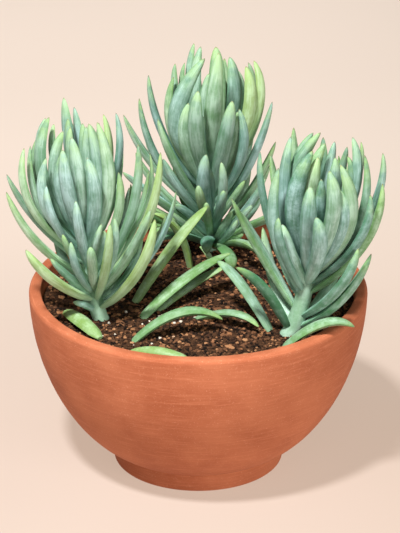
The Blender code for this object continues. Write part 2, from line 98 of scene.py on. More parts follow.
# The soil's fine skin
SOIL_GAP = 0.7 * MM
SOIL_BOTTOM_GAP = 0.35 * MM
SOIL_SIDE_DROP = 2 * MM
SOIL_SIDE_SHARES = (0, 0.02, 0.06, 0.13, 0.25, 0.4, 0.6, 0.8, 0.95)
SOIL_RINGS = 110
SOIL_SEGMENTS = 300
CRUMB_RELIEF = 0.585 * MM
COARSE_CRUMB = 3.1 * MM
FINE_CRUMB = 1.4 * MM
FINE_CRUMB_SHARE = 0.6

# Loose lumps on the soil: how many, and the ranges of size in mm, tone from dark to pale, and stretch.
# "height" is a share of the width
LUMPS = {
    "crumb": {"count": 5600, "size": (0.8, 2.8), "tone": (0.0, 0.95), "height": 0.75, "stretch": (1.0, 1.35)},
    "stone": {"count": 760, "size": (1.8, 4.2), "tone": (0.6, 0.97), "height": 0.7, "stretch": (1.0, 1.35)},
    "bark": {"count": 70, "size": (2.5, 5.5), "tone": (0.7, 0.92), "height": 0.3, "stretch": (1.5, 2.4)},
}

# White perlite grains, strewn round a middle point (x, y) in mm, with their spread in mm
PERLITE = {"count": 26, "size": (1.4, 2.8), "height": 0.85, "stretch": (1.0, 1.35)}
PERLITE_TONE = 1.0
PERLITE_MIDDLE = (-46, -62)
PERLITE_SPREAD = 22
PERLITE_REACH = 108 * MM

# How each lump is shaped and bedded
GRIT_SEED = 11
GRIT_WALL_GAP = 3 * MM
GRIT_EDGE_ANGLE = 25
TONE_POWER = 1.35
LUMP_SHAPES = 12
LUMP_UNEVENNESS = 0.28
LUMP_LIFT = 0.18
LUMP_TILT = 0.35

# Stems, as in the part's source apart from their radius at the foot, which is in SHOOTS
STEM_HEIGHT = 86 * MM
STEM_DEPTH = 22 * MM
STEM_TOP_RADIUS = 3.6 * MM
STEM_TOP_POINT = 3 * MM
LEAN_POWER = 0.65
STEM_SIDES = 24
STEM_RINGS = 40
STEM_RIPPLE = 0.035
STEM_RIPPLE_TURN = 1.1

# Leaves: arcs as in the part's source, but broader and finer
ROOT_OFFSET = 2 * MM
OUTWARD_DROOP = 0.2
TURN_TO_FRONT = 20 * MM
SIGHT_SLOPE = math.tan(SIGHT_FALL)
MIDDLE_BEHIND_SHARE = 0.8
LEAF_BREADTH = 1.1
LEAF_SIDES = 16
LEAF_RINGS = 22
LEAF_SPACING = 1.5
LEAF_EDGE_ANGLE = 50
LEAF_THICKNESS_SHARE = 0.66
INNER_FACE_SHARE = 0.7
LENS = 0.7
NECK_SHARE = 0.68
NECK_END = 0.55
ROOT_TAPER = 0.5
ROOT_END = 0.1
TIP_POWER = 5.5
TIP_ROUNDNESS = 0.68
LEAF_WAVE = (0.1, 0.5)
LEAF_WAVE_TURN = 7

# Numbers that each vertex of a leaf carries for its material. "along" runs from root to tip, "across" and
# "face" are its place round the leaf, and "mark" is the leaf's own random number. "hue" runs from bluish to
# green, "sun" from green to yellowed, and "bare" from bloomed to worn
LEAF_ATTRIBUTES = ("along", "across", "face", "mark", "hue", "sun", "bare")
STEM_LOOK = {"along": 0.12, "hue": 0.5, "sun": 0.2, "bare": 0.6}
LYING_LOOK = {"hue": 0.8, "sun": 0.6, "bare": 0.85}
PLANTED_SUN = (0.3, 0.7)
PLANTED_BARE = (0.6, 0.95)
YELLOWED_SUN = (0.6, 0.85)
LOW_LEAF_TIP = 90 * MM
LOW_LEAF_SUN = 0.5
LOW_LEAF_BARE = 0.7
SUN_VARIATION = (-0.5, 0.3)
BARE_VARIATION = (-0.35, 0.35)

# Each shoot, in mm: where its stem leaves the soil, how far its top leans, how worn its bloom is, the stem's
# radius, the tips (across, up) of its yellowed and of its bluish leaves, and its leaves, each
# (tip across, tip up, tip behind, middle across, middle up, height of its root on the stem, half width)
SHOOTS = {
    "left_shoot": {
        "foot": (-71, -37),
        "lean": (-13, 4),
        "bare": 0.05,
        "stem_radius": 6.2,
        "yellowed": ((-53, 55), (3, 162), (44, 132), (40, 79), (8, 75)),
        "bluish": ((-18, 168), (12, 163), (-37, 105), (-16, 93), (-20, 61)),
        "leaves": (
            (-67, 115, 6, -45, 78, 42, 4.7), (-67, 101, -6, -44, 60, 32, 5.3),
            (-53, 55, -24, -33, 31, 15, 6.2), (-53, 135, -14, -48, 88, 50, 4.6),
            (-49, 137, -4, -42, 88, 50, 4.5), (-42, 147, 8, -44, 105, 56, 4.5),
            (-35, 159, -8, -40, 112, 62, 5.6), (-38, 159, 2, -41, 118, 66, 3.8),
            (-32, 154, 0, -31, 118, 66, 4.0), (-37, 127, -20, -38, 87, 54, 4.5),
            (-37, 105, -32, -31, 75, 44, 3.9), (-25, 148, -12, -31, 108, 64, 4.9),
            (-27, 129, -18, -27, 94, 58, 3.9), (-25, 133, -32, -21, 96, 56, 5.2),
            (-19, 143, -24, -13, 102, 64, 5.4), (-25, 175, 6, -20, 128, 76, 5.6),
            (-18, 168, 14, -13, 125, 76, 4.4), (-20, 151, -10, -20, 115, 68, 3.8),
            (-22, 158, -2, -20, 122, 72, 3.8), (-12, 155, 8, -11, 118, 74, 3.9),
            (-9, 152, -4, -8, 112, 70, 4.8), (-8, 127, -26, -3, 92, 58, 5.1),
            (-7, 154, -12, 0, 106, 64, 5.7), (-1, 155, -16, 7, 100, 56, 4.7),
            (3, 162, 8, 6, 118, 68, 4.0), (12, 163, 4, 12, 118, 66, 4.0),
            (14, 116, -14, 12, 78, 46, 4.0), (28, 138, -10, 22, 82, 28, 5.1),
            (35, 118, 30, 22, 70, 28, 4.8), (48, 84, 26, 30, 44, 14, 4.8),
            (44, 132, -8, 31, 72, 24, 5.5), (37, 87, -16, 19, 48, 20, 5.4),
            (40, 79, -26, 27, 37, 8, 5.7), (8, 75, -36, 5, 43, 14, 3.4), (11, 80, -30, 10, 50, 20, 2.9),
            (-20, 61, -36, -16, 39, 20, 3.3), (-16, 93, -42, -13, 65, 38, 3.7),
            (-26, 67, -28, -20, 50, 28, 2.9), (-6, 57, -42, -5, 42, 22, 3.6),
            (2, 75, -30, -3, 55, 34, 3.0), (4, 70, -26, 0, 52, 30, 3.4),
            (-36, 48, -10, -22, 33, 18, 4.5), (-20, 13, -8, -12, 11, 6, 3.6),
            (55, 102, 20, 36, 51, 12, 4.0), (36, 132, 12, 30, 84, 40, 3.5),
            (22, 108, 22, 16, 64, 26, 4.6), (30, 70, 20, 20, 38, 12, 4.4),
        ),
    },
    "middle_shoot": {
        "foot": (10, 84),
        "lean": (1, 3),
        "bare": 0.15,
        "stem_radius": 5.6,
        "yellowed": ((25, 149), (31, 154)),
        "bluish": ((-47, 143), (45, 121), (20, 114), (-4, 77)),
        "leaves": (
            (-13, 169, 12, -15, 125, 76, 4.9), (-8, 166, 6, -12, 122, 76, 4.9),
            (-20, 153, 8, -20, 116, 72, 3.7), (-27, 152, 2, -23, 112, 66, 4.8),
            (-5, 155, -18, -26, 102, 62, 6.4), (-17, 119, -20, -19, 84, 48, 5.3),
            (-28, 141, -6, -29, 95, 50, 4.6), (-47, 143, 4, -34, 91, 46, 5.2),
            (-54, 124, 0, -38, 71, 30, 5.0), (-40, 106, -24, -25, 66, 30, 4.4),
            (-66, 111, 6, -40, 66, 28, 5.4), (-10, 128, -34, -11, 90, 50, 5.8),
            (-6, 108, -26, -7, 84, 52, 3.4), (5, 159, -26, 1, 106, 58, 6.4),
            (3, 165, -4, 4, 122, 70, 6.3), (-2, 143, -16, -5, 106, 60, 4.6),
            (13, 157, -2, 16, 115, 62, 5.9), (19, 147, 8, 21, 115, 66, 3.8),
            (25, 149, -12, 26, 105, 54, 6.0), (27, 153, 4, 28, 112, 58, 4.5),
            (31, 154, -4, 33, 108, 48, 5.4), (20, 114, -28, 22, 75, 38, 4.0),
            (45, 121, -8, 28, 70, 28, 5.0), (15, 120, -36, 9, 84, 46, 5.9),
            (19, 112, -26, 17, 84, 44, 4.7), (-4, 77, -38, -6, 50, 20, 4.8),
            (7, 71, -36, 8, 44, 18, 3.5), (-4, 38, -40, -3, 26, 8, 3.0), (48, 89, 2, 29, 49, 14, 4.9),
            (25, 57, -14, 15, 41, 20, 3.3), (36, 47, -8, 23, 31, 8, 3.6), (38, 45, -4, 24, 24, 5, 4.5),
            (-28, 36, -16, -17, 30, 12, 4.9), (-31, 31, -24, -19, 20, 6, 3.6),
            (15, 31, -30, 9, 18, 3, 3.6), (19, 24, -36, 12, 11, 2, 3.2), (-67, 64, 6, -42, 44, 12, 4.9),
            (24, 12, -30, 13, 8, 2, 4.0), (-1, 65, -30, 0, 50, 32, 2.6), (-50, 95, 18, -33, 60, 24, 4.6),
            (-57, 80, 8, -38, 50, 16, 4.8), (-50, 48, -14, -31, 34, 12, 4.8),
            (-36, 74, -26, -22, 47, 22, 4.6), (-45, 4, -34, -26, 12, 4, 4.6),
            (-54, 26, 0, -32, 20, 5, 4.8), (44, 70, 6, 27, 38, 10, 4.6), (40, 58, -20, 24, 31, 6, 4.6),
            (30, 36, -34, 18, 21, 4, 4.2), (47, 30, -18, 28, 19, 3, 4.6),
            (-10, 52, -42, -7, 36, 16, 3.6), (9, 48, -42, 6, 32, 12, 3.6),
            (-62, 44, 10, -38, 30, 8, 4.8), (-46, 62, 20, -30, 40, 14, 4.8),
            (-44, 84, 28, -28, 56, 26, 4.6), (40, -8, -46, 24, 5, 4, 5.2), (54, 26, -16, 33, 22, 6, 5.2),
            (16, -17, -56, 11, -2, 4, 5.4), (-64, 37, -4, -38, 26, 8, 5.0),
            (-58, 20, -10, -34, 17, 6, 5.0), (-4, -4, -44, -3, 8, 6, 4.8),
            (-48, 10, -26, -30, 16, 6, 5.0),
        ),
    },
    "right_shoot": {
        "foot": (66, -60),
        "lean": (21, 5),
        "bare": 0.45,
        "stem_radius": 7.2,
        "yellowed": (),
        "bluish": ((0, 155), (65, 142), (-22, 143), (13, 115), (21, 121)),
        "leaves": (
            (21, 158, 2, 0, 110, 62, 5.9), (16, 158, 8, 3, 118, 66, 4.5), (0, 155, -2, -4, 98, 44, 4.9),
            (15, 143, -20, 2, 98, 54, 6.1), (24, 149, -8, 13, 112, 66, 5.1),
            (19, 138, -16, 14, 104, 62, 5.4), (13, 115, -36, 12, 82, 44, 5.6),
            (17, 91, -42, 20, 66, 38, 5.3), (21, 121, -24, 20, 88, 54, 4.5),
            (26, 127, -36, 29, 88, 46, 5.7), (31, 138, -16, 28, 104, 62, 4.7),
            (34, 132, -28, 41, 85, 44, 5.5), (33, 113, -30, 36, 80, 44, 4.7),
            (43, 154, -8, 44, 108, 54, 5.3), (50, 151, 10, 45, 112, 62, 3.7),
            (31, 151, 2, 25, 114, 68, 4.6), (40, 147, 4, 32, 112, 66, 4.9),
            (40, 139, -10, 40, 106, 58, 3.8), (52, 140, -10, 48, 86, 40, 4.8),
            (65, 142, -4, 55, 92, 38, 5.2), (65, 118, -10, 52, 70, 30, 5.7),
            (56, 109, -22, 47, 71, 38, 4.9), (48, 67, -24, 34, 35, 12, 5.8),
            (58, 63, -12, 36, 26, 4, 5.7), (-9, 91, -30, -6, 66, 32, 3.5),
            (-9, 130, -18, -11, 78, 32, 4.5), (-22, 143, -8, -16, 92, 28, 3.9),
            (-12, 105, 6, -6, 80, 36, 3.0), (-6, 86, -18, 0, 62, 38, 5.5),
            (-42, 107, 14, -21, 64, 16, 4.9), (-36, 97, 18, -20, 68, 18, 4.9),
            (-39, 52, -14, -18, 35, 2, 6.0),
        ),
    },
}

# The far side of each shoot, in tiers from the bottom: reach and height of the tips in mm, and how many
REAR_TIERS = ((46, 62, 3), (50, 92, 3), (40, 122, 3), (22, 146, 2))
REAR_START = math.radians(30)
REAR_SPAN = math.radians(120)
REAR_JITTER = 5
REAR_LEAN_SHARE = 0.7
REAR_LENGTH = 81.5 * MM
LOWEST_ROOT_SHARE = 0.1
HIGHEST_ROOT_SHARE = 0.96
ROOT_TRIALS = 60

# Young leaves that close over the top of a stem, with reach, tip and step in mm
HEART_LEAVES = 3
HEART_REACH = 9
HEART_TIP = 134
HEART_STEP = 2
HEART_TURN = math.radians(75)
HEART_LEAN_SHARE = 1.2
HEART_ROOT_SHARE = 0.93
GOLDEN_ANGLE = math.radians(137.5)

# How the leaves that weren't read bend, and how wide they are
MIDDLE_ALONG = 0.44
UPRIGHT_BOW = 0.06
REACH_BOW = 0.11
SLIM_HALF_WIDTH = 2.3 * MM
WIDTH_PER_LENGTH = 0.036
MOST_HALF_WIDTH = 5 * MM

# The part's own seed, so that the rear leaves of both have the same tips
SEED = 7

# Single leaves set in the soil, in mm: root (x, y), middle and tip (x, y, height above the root), half width
PLANTED_LEAVES = {
    "planted_leaf_back": ((-49, -12), (-20, 9, 34), (7, 28, 60), 6.0),
    "planted_leaf_middle": ((-45, -40), (-12, -15, 19), (24, 10, 30), 5.8),
    "planted_leaf_below": ((-38, -31), (-6, -7, 11), (20, 0, 23), 4.8),
    "planted_leaf_front": ((-49, -73), (-15, -67, 19), (18, -62, 11), 6.0),
    "planted_leaf_beside": ((-7, -35), (22, -51, 11), (44, -65, 6), 4.8),
    "planted_leaf_arching": ((54, -57), (32, -41, 28), (14, -22, 39), 5.4),
    "planted_leaf_bent": ((-6, 49), (-14, 46, 31), (-34, 40, 49), 5.6),
    "planted_leaf_over_rim": ((60, -80), (88, -79, 17), (113, -72, 11), 5.8),
    "planted_leaf_small": ((13, 50), (7, 57, 8), (1, 62, 11), 2.8),
}
PLANTING_DEPTH = 9 * MM

# Single leaves that lie on the soil, in mm: butt, middle and tip (x, y, height above the soil), half width
LYING_LEAVES = {
    "fallen_leaf_front": ((-6, -106, 3), (-28, -98, 6), (-51, -90, 2), 5.0),
    "fallen_leaf_left": ((-71, -72, 4), (-86, -48, 7), (-98, -24, 3), 6.8),
}
REST_GAP = 0.6 * MM

# The camera, which looks down as steeply as the photograph
CAMERA_TARGET = (1.3 * MM, 0, 154.1 * MM)
CAMERA_DISTANCE = 3.0
CAMERA_LENS = 275.1

# A small key lamp from the upper left gives crisp leaf shadows, and wide weak ones lighten them.
# Each lamp: place, size, power in watts and colour
LAMPS = {
    "key": ((-0.62, -1.28, 2.65), 0.3, 140, (1.0, 0.98, 0.95)),
    "front": ((0.1, -2.4, 1.9), 1.5, 12, (1.0, 0.98, 0.95)),
    "right fill": ((2.2, -2.2, 0.9), 1.4, 54, (1.0, 0.95, 0.9)),
    "left fill": ((-2.4, -1.5, 0.9), 1.4, 10, (1.0, 0.97, 0.93)),
}
LAMP_TARGET = (0, 0, 0.12)
SKY_COLOUR = (1.0, 0.96, 0.93, 1.0)
SKY_STRENGTH = 0.1

# The stage, and its faint glow, which fades outside a circle behind the bowl
STAGE_FRONT = -5.0
STAGE_BACK = 4.0
STAGE_HALF_WIDTH = 5.0
STAGE_CURVE = 1.2
STAGE_CURVE_STEPS = 16
STAGE_TOP = 4.0
NEAR_GLOW = 0.6
FAR_GLOW = 0.12
GLOW_MIDDLE = 0.5
GLOW_REACH = 1.1

# Colours, 8-bit sRGB
CLAY_DARK = (164, 90, 59)
CLAY_LIGHT = (184, 109, 76)
CLAY_LINE = (198, 122, 88)
CLAY_BAND = (164, 90, 58)
CLAY_SPECK = (220, 160, 130)
SOIL_DARK = (20, 12, 8)
SOIL_LIGHT = (80, 54, 36)
SOIL_FLECK = (140, 98, 68)
GRIT_TONES = (
    (0.0, (14, 8, 5)), (0.3, (36, 23, 15)), (0.5, (72, 46, 31)), (0.7, (112, 76, 52)), (0.85, (154, 106, 72)),
    (0.96, (186, 138, 98)), (1.0, (232, 222, 206)),
)
# Painted shade for the hollows of the grit's fine grain
GRIT_PAINTED_SHADE = (24, 16, 12)
SKIN_BLUE = (40, 104, 68)
SKIN_GREEN = (76, 134, 48)
SKIN_YELLOWED = (128, 150, 56)
BLOOM_BLUE = (168, 203, 202)
BLOOM_GREEN = (182, 212, 181)
BLOOM_YELLOWED = (176, 206, 128)
LEAF_DARK = (58, 112, 84)
LEAF_BASE = (178, 212, 194)
LEAF_TIP = (158, 194, 112)
LEAF_POINT = (120, 100, 70)
LEAF_SCAR = (116, 118, 84)
FLOOR_DARK = (124, 116, 112)
FLOOR_LIGHT = (130, 122, 118)
WALL_DARK = (152, 138, 128)
WALL_LIGHT = (158, 144, 134)
STAGE_SHADED = (100, 90, 80)
FLOOR_GLOW = (242, 214, 192)
WALL_GLOW = (241, 226, 212)

SHADER_INPUTS = {
    "colour": "Base Color", "roughness": "Roughness", "normal": "Normal", "specular": "Specular IOR Level",
    "glow": "Emission Color", "glow_strength": "Emission Strength",
}


def srgb(red, green, blue):
    """Linear RGBA of an 8-bit colour."""
    channels = (c / 255 for c in (red, green, blue))
    return (*(((c + 0.055) / 1.055) ** 2.4 if c > 0.04045 else c / 12.92 for c in channels), 1.0)


class Nodes:
    """Builds a material's node tree: each call adds a node and returns its output.

    An input is another node's output, which gets linked, or a plain value.
    """

    def __init__(self, name):
        self.material = bpy.data.materials.new(name)
        self.material.use_nodes = True
        self.tree = self.material.node_tree
        self.shader = self.tree.nodes["Principled BSDF"]

    def feed(self, socket, value):
        """Links an output to a socket, or sets the socket to a plain value."""
        if isinstance(value, bpy.types.NodeSocket):
            self.tree.links.new(value, socket)
        else:
            socket.default_value = value

    def add(self, kind, inputs=None, output=0, **settings):
        node = self.tree.nodes.new(kind)
        for key, value in settings.items():
            setattr(node, key, value)
        for key, value in (inputs or {}).items():
            self.feed(node.inputs[key], value)
        return node.outputs[output]

    def position(self):
        return self.add("ShaderNodeTexCoord", output="Object")

    def coordinate(self, vector, axis):
        return self.add("ShaderNodeSeparateXYZ", {"Vector": vector}, axis)

    def combined(self, x, y, z):
        return self.add("ShaderNodeCombineXYZ", {"X": x, "Y": y, "Z": z})

    def attribute(self, name):
        return self.add("ShaderNodeAttribute", output="Fac", attribute_name=name)

    def stretched(self, vector, x, y, z):
        return self.add("ShaderNodeMapping", {"Vector": vector, "Scale": (x, y, z)})

    def noise(self, vector, scale, detail, roughness):
        inputs = {"Vector": vector, "Scale": scale, "Detail": detail, "Roughness": roughness}
        return self.add("ShaderNodeTexNoise", inputs)

    def math(self, operation, first, second=0.0, third=0.0, clamp=False):
        inputs = {0: first, 1: second, 2: third}
        return self.add("ShaderNodeMath", inputs, operation=operation, use_clamp=clamp)

    def spread(self, value, low, high, to_low=0.0, to_high=1.0):
        """Maps the range from low to high smoothly onto another, and stops at its ends."""
        inputs = {"Value": value, "From Min": low, "From Max": high, "To Min": to_low, "To Max": to_high}
        return self.add("ShaderNodeMapRange", inputs, interpolation_type="SMOOTHSTEP")

    def mix(self, share, first, second):
        """Mixes two colours, each an output or an 8-bit triple."""
        first, second = (srgb(*c) if isinstance(c, tuple) else c for c in (first, second))
        return self.add("ShaderNodeMix", {0: share, 6: first, 7: second}, 2, data_type="RGBA")

    def ramp(self, value, stops):
        """Colours a value by stops of (place, 8-bit triple)."""
        result = self.add("ShaderNodeValToRGB", {"Fac": value})
        elements = result.node.color_ramp.elements
        while len(elements) < len(stops):
            elements.new(0.5)
        for element, (place, colour) in zip(elements, stops):
            element.position = place
            element.color = srgb(*colour)
        return result

    def bump(self, height, distance, strength=1.0):
        return self.add("ShaderNodeBump", {"Height": height, "Distance": distance, "Strength": strength})

    def finish(self, **inputs):
        """Feeds the shader's inputs, and returns the material."""
        for key, value in inputs.items():
            self.feed(self.shader.inputs[SHADER_INPUTS[key]], value)
        return self.material


def terracotta_material():
    """Matte fired clay with faint throwing lines, mottling and pale specks."""
    n = Nodes("terracotta")
    where = n.position()
    mottle = n.spread(n.noise(where, 22, 5, 0.6), 0.3, 0.7)
    lines = n.noise(n.stretched(where, 45, 45, 900), 1.0, 4, 0.6)
    bands = n.noise(n.stretched(where, 4, 4, 200), 1.0, 3, 0.5)
    speck = n.noise(where, 900, 2, 0.7)
    colour = n.mix(mottle, CLAY_DARK, CLAY_LIGHT)
    colour = n.mix(n.spread(lines, 0.45, 0.75, 0.0, 0.6), colour, CLAY_LINE)
    colour = n.mix(n.spread(bands, 0.5, 0.75, 0.0, 0.12), colour, CLAY_BAND)
    colour = n.mix(n.spread(speck, 0.58, 0.75, 0.0, 0.45), colour, CLAY_SPECK)
    height = n.math("MULTIPLY_ADD", lines, 0.8, n.math("MULTIPLY", speck, 0.5))
    roughness = n.spread(mottle, 0, 1, 0.78, 0.9)
    return n.finish(colour=colour, roughness=roughness, normal=n.bump(height, 0.2 * MM, 0.5), specular=0.2)


def soil_material():
    """Dark, damp potting mix under the loose grit."""
    n = Nodes("soil")
    where = n.position()
    coarse = n.noise(where, 260, 6, 0.7)
    fine = n.noise(where, 900, 4, 0.7)
    colour = n.mix(n.spread(coarse, 0.35, 0.65), SOIL_DARK, SOIL_LIGHT)
    colour = n.mix(n.spread(fine, 0.55, 0.7, 0.0, 0.8), colour, SOIL_FLECK)
    height = n.math("MULTIPLY_ADD", coarse, 0.7, n.math("MULTIPLY", fine, 0.4))
    return n.finish(colour=colour, roughness=0.95, normal=n.bump(height, 1.2 * MM), specular=0.15)


def grit_material():
    """Crumbs, stones, bark and perlite, each of its own tone, with painted shade in the hollows of their fine
    grain.
    """
    n = Nodes("grit")
    tones = n.ramp(n.attribute("tone"), GRIT_TONES)
    grain = n.noise(n.position(), 1400, 3, 0.7)
    # Painted shade: each lump darkens where its fine grain dips, in the hollows of its bump
    colour = n.mix(n.spread(grain, 0.35, 0.7, 0.25, 0.0), tones, GRIT_PAINTED_SHADE)
    return n.finish(colour=colour, roughness=0.9, normal=n.bump(grain, 0.4 * MM), specular=0.2)


def leaf_material():
    """Green skin, yellowed by sun on some leaves, under a chalky blue bloom that is worn off the low ones."""
    n = Nodes("leaf")
    where = n.position()
    along, across, face, mark, hue, sun, bare = (n.attribute(name) for name in LEAF_ATTRIBUTES)
    skin = n.mix(n.spread(sun, 0, 1, 0, 0.85), n.mix(hue, SKIN_BLUE, SKIN_GREEN), SKIN_YELLOWED)
    chalk = n.mix(n.spread(sun, 0, 1, 0, 0.4), n.mix(hue, BLOOM_BLUE, BLOOM_GREEN), BLOOM_YELLOWED)

    # Each leaf has its own streaks, because its mark shifts them
    lengthwise = n.math("MULTIPLY_ADD", along, 7.0, n.math("MULTIPLY", mark, 90.0))
    streak = n.noise(n.stretched(n.combined(across, face, lengthwise), 4, 4, 1), 1.0, 5, 0.6)
    patch = n.noise(where, 110, 3, 0.6)
    rub = n.spread(n.noise(where, 45, 2, 0.5), 0.3, 0.6, 0.7, 1.1)
    edge = n.spread(n.math("ABSOLUTE", across), 0.6, 1.0, 1.0, 0.5)
    worn = n.math("MULTIPLY", bare, n.spread(n.noise(where, 120, 5, 0.75), 0.36, 0.66, 0.5, 1.0))
    bloom = n.math("MULTIPLY_ADD", n.spread(streak, 0.35, 0.65), 0.45, n.spread(patch, 0.3, 0.7, 0.42, 0.75))
    bloom = n.math("MULTIPLY", n.math("MULTIPLY", bloom, rub), edge)
    bloom = n.math("MULTIPLY", bloom, n.spread(worn, 0.0, 1.0, 1.03, 0.15), clamp=True)
    colour = n.mix(bloom, skin, chalk)

    colour = n.mix(n.spread(mark, 0.4, 1.0, 0.0, 0.35), colour, LEAF_DARK)
    pale_base = n.math("MULTIPLY", n.spread(along, 0.35, 0.0, 0.0, 0.5), n.spread(bare, 0.2, 0.9, 1.0, 0.1))
    colour = n.mix(pale_base, colour, LEAF_BASE)
    tip = n.math("MULTIPLY", n.spread(along, 0.7, 1.0), n.spread(patch, 0.35, 0.6, 0.1, 0.55), clamp=True)
    colour = n.mix(tip, colour, LEAF_TIP)
    colour = n.mix(n.spread(along, 0.975, 1.0, 0.0, 0.7), colour, LEAF_POINT)
    colour = n.mix(n.spread(n.noise(where, 420, 2, 0.5), 0.7, 0.78, 0.0, 0.35), colour, LEAF_SCAR)
    normal = n.bump(n.math("MULTIPLY_ADD", streak, 0.6, n.math("MULTIPLY", patch, 0.3)), 0.3 * MM, 0.6)
    roughness = n.spread(bloom, 0.0, 1.0, 0.45, 0.7)
    return n.finish(colour=colour, roughness=roughness, normal=normal, specular=0.3)


def backdrop_material():
    """Pale plaster with a faint glow of its own, which keeps the bowl's shadow light."""
    n = Nodes("backdrop")
    where = n.position()
    x, y = n.coordinate(where, "X"), n.coordinate(where, "Y")
    wall = n.spread(y, 0.0, 0.6)
    cloud = n.spread(n.noise(where, 1.6, 2, 0.5), 0.35, 0.65)
    colour = n.mix(wall, n.mix(cloud, FLOOR_DARK, FLOOR_LIGHT), n.mix(cloud, WALL_DARK, WALL_LIGHT))
    colour = n.mix(n.spread(x, -0.1, 0.45, 0.0, 0.5), colour, STAGE_SHADED)
    glow = n.mix(wall, FLOOR_GLOW, WALL_GLOW)
    behind = n.math("SUBTRACT", y, GLOW_MIDDLE)
    distance_squared = n.math("MULTIPLY_ADD", x, x, n.math("MULTIPLY", behind, behind))
    strength = n.spread(distance_squared, GLOW_REACH**2, (2 * GLOW_REACH) ** 2, NEAR_GLOW, FAR_GLOW)
    return n.finish(colour=colour, roughness=0.95, specular=0.05, glow=glow, glow_strength=strength)


def add_mesh(name, built, material, smooth_degrees=None):
    """Makes a smooth object of a bmesh. Edges sharper than the given angle stay sharp."""
    mesh = bpy.data.meshes.new(name)
    built.to_mesh(mesh)
    built.free()
    obj = bpy.data.objects.new(name, mesh)
    mesh.materials.append(material)
    mesh.shade_smooth()
    if smooth_degrees is not None:
        mesh.set_sharp_from_angle(angle=math.radians(smooth_degrees))
    bpy.context.scene.collection.objects.link(obj)
    return obj


def join_rings(built, rings, start=None, end=None):
    """Adds a closed skin through rings of points, each end a point or a flat face.

    Returns the rings' vertices row by row, then each end point's row of one.
    """
    rows = [[built.verts.new(point) for point in ring] for ring in rings]
    count = len(rows[0])
    made = []
    for lower, upper in zip(rows, rows[1:]):
        for i in range(count):
            j = (i + 1) % count
            made.append(built.faces.new((lower[i], lower[j], upper[j], upper[i])))
    for row, point, order in ((rows[0], start, -1), (rows[-1], end, 1)):
        if point is None:
            made.append(built.faces.new(row[::order]))
            continue
        peak = built.verts.new(point)
        rows.append([peak])
        for i in range(count):
            pair = (row[i], row[(i + 1) % count])[::order]
            made.append(built.faces.new((*pair, peak)))
    bmesh.ops.recalc_face_normals(built, faces=made)
    return rows


def circle(radius, height, sides):
    """Points round a level circle about the Z axis."""
    turns = (math.tau * i / sides for i in range(sides))
    return [Vector((radius * math.cos(turn), radius * math.sin(turn), height)) for turn in turns]


def belly_swell(share):
    """How far the bowl has widened at a share of its height, from 0 to 1."""
    return (1 - (1 - share) ** BELLY_POWER_UP) ** (1 / BELLY_POWER_OUT)


def belly_radius(height):
    """Radius of the bowl's outside at a height."""
    share = (height - BELLY_START_HEIGHT) / (BOWL_HEIGHT - BELLY_START_HEIGHT)
    return BELLY_START_RADIUS + (RIM_RADIUS - BELLY_START_RADIUS) * belly_swell(share)


def inner_radius(height):
    """Radius of the bowl's inside at a height."""
    floor_radius = BELLY_START_RADIUS - WALL / 2
    share = (height - FLOOR_TOP) / (BOWL_HEIGHT - FLOOR_TOP)
    return floor_radius + (RIM_RADIUS - WALL - floor_radius) * belly_swell(share)


def arc(radius, middle_radius, middle_height, start_degrees, end_degrees, steps):
    """Points (radius from the axis, height) on a rounded corner."""
    points = []
    for k in range(steps + 1):
        turn = math.radians(start_degrees + (end_degrees - start_degrees) * k / steps)
        points.append((middle_radius + radius * math.cos(turn), middle_height + radius * math.sin(turn)))
    return points


def bowl_profile():
    """The bowl's half section (radius, height), up the outside, over the lip and down the inside."""
    profile = [(0, 0), (FOOT_RADIUS - FOOT_INSET, 0)]
    profile += arc(FOOT_EDGE_ROUND, FOOT_RADIUS - FOOT_EDGE_ROUND, FOOT_EDGE_ROUND, -90, 0, SMALL_ARC_STEPS)
    profile += [(FOOT_RADIUS, FOOT_HEIGHT * share) for share in FOOT_SIDE_SHARES]
    for i in range(OUTSIDE_STEPS):
        height = FOOT_HEIGHT + (BOWL_HEIGHT - LIP_ROUND - FOOT_HEIGHT) * i / OUTSIDE_STEPS
        profile.append((max(belly_radius(height), FOOT_RADIUS + BELLY_CLEARANCE), height))
    profile += arc(LIP_ROUND, RIM_RADIUS - LIP_ROUND, BOWL_HEIGHT - LIP_ROUND, 0, 90, LIP_STEPS)
    inner_lip = (RIM_RADIUS - WALL + INNER_LIP_ROUND, BOWL_HEIGHT - INNER_LIP_ROUND)
    profile += arc(INNER_LIP_ROUND, *inner_lip, 90, 180, SMALL_ARC_STEPS)
    for i in range(INSIDE_STEPS, -1, -1):
        share = (i / INSIDE_STEPS) ** INSIDE_SPACING
        height = FLOOR_TOP + (BOWL_HEIGHT - INNER_TOP_DROP - FLOOR_TOP) * share
        profile.append((inner_radius(height), height))
    return profile + [(0, FLOOR_TOP)]


def make_bowl(material):
    """The bowl turned finely, with the slight ripples of a thrown pot, and its drain holes cut."""
    bottom, *profile, top = bowl_profile()
    rings = []
    for radius, height in profile:
        rippled = FOOT_HEIGHT < height < BOWL_HEIGHT - SMOOTH_LIP
        ring = []
        for spot in circle(1.0, height / RIPPLE_PITCH, BOWL_SEGMENTS):
            out = radius + (THROWING_RIPPLE * noise.noise(spot) if rippled else 0)
            ring.append((out * spot.x, out * spot.y, height))
        rings.append(ring)
    built = bmesh.new()
    join_rings(built, rings, (0, 0, bottom[1]), (0, 0, top[1]))
    bowl = add_mesh("bowl_turned", built, material, BOWL_EDGE_ANGLE)
    drills = bmesh.new()
    for i in range(DRAIN_COUNT):
        turn = math.tau * (i / DRAIN_COUNT + 0.25)
        middle = Vector((math.cos(turn), math.sin(turn), 0)) * DRAIN_RING
        heights = (-DRILL_MARGIN, FLOOR_TOP + DRILL_MARGIN)
        rings = [circle(DRAIN_RADIUS, height, DRILL_SIDES) for height in heights]
        join_rings(drills, [[middle + point for point in ring] for ring in rings])
    cut(bowl, add_mesh("drain_drills", drills, material))
    return bowl


